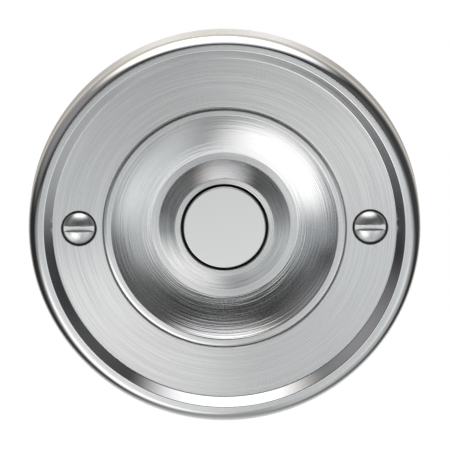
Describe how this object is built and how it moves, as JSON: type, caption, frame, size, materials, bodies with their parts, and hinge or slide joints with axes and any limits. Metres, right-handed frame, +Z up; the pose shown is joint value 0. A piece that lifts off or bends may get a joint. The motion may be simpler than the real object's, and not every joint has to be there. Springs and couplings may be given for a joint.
{
  "type": "doorbell push button",
  "caption": "Round satin-chromed bell push with a raised rim, a dished surround and a flush sprung button that closes a contact behind the plate.",
  "frame": {"origin": "centre of the plate on the wall plane, where the rim's back face meets the wall", "axes": "+Z up as it hangs, +Y into the wall along the button's axis, the face looking towards -Y, +X to the right for someone facing it"},
  "size_m": [0.076, 0.0285, 0.076],
  "materials": {
    "satin_chrome": "brushed satin plating over turned brass",
    "screw_chrome": "polished plating",
    "natural_nylon": "moulded",
    "contact_brass": "rolled strip",
    "spring_steel": "drawn wire",
    "black_phenolic": "moulded",
    "zinc_steel": "bright zinc"
  },
  "bodies": {
    "base": {"backplate": "satin_chrome", "button_surround": "satin_chrome", "fixing_screw_left": "screw_chrome", "fixing_screw_right": "screw_chrome", "return_spring": "spring_steel", "contact_housing": "black_phenolic", "contact_strip_left": "contact_brass", "contact_strip_right": "contact_brass", "terminal_washer_left": "contact_brass", "terminal_washer_right": "contact_brass", "terminal_screw_left": "contact_brass", "terminal_screw_right": "contact_brass", "housing_screw_top": "zinc_steel", "housing_screw_bottom": "zinc_steel"},
    "button": {"push_button": "satin_chrome", "plunger": "natural_nylon", "contact_bridge": "contact_brass"}
  },
  "joints": [
    {"name": "button_press", "type": "slide", "parent": "base", "child": "button", "axis": [0, 1, 0], "range_m": [0, 0.0015], "stiffness_N_per_m": 1500, "deforming": ["return_spring"]}
  ]
}
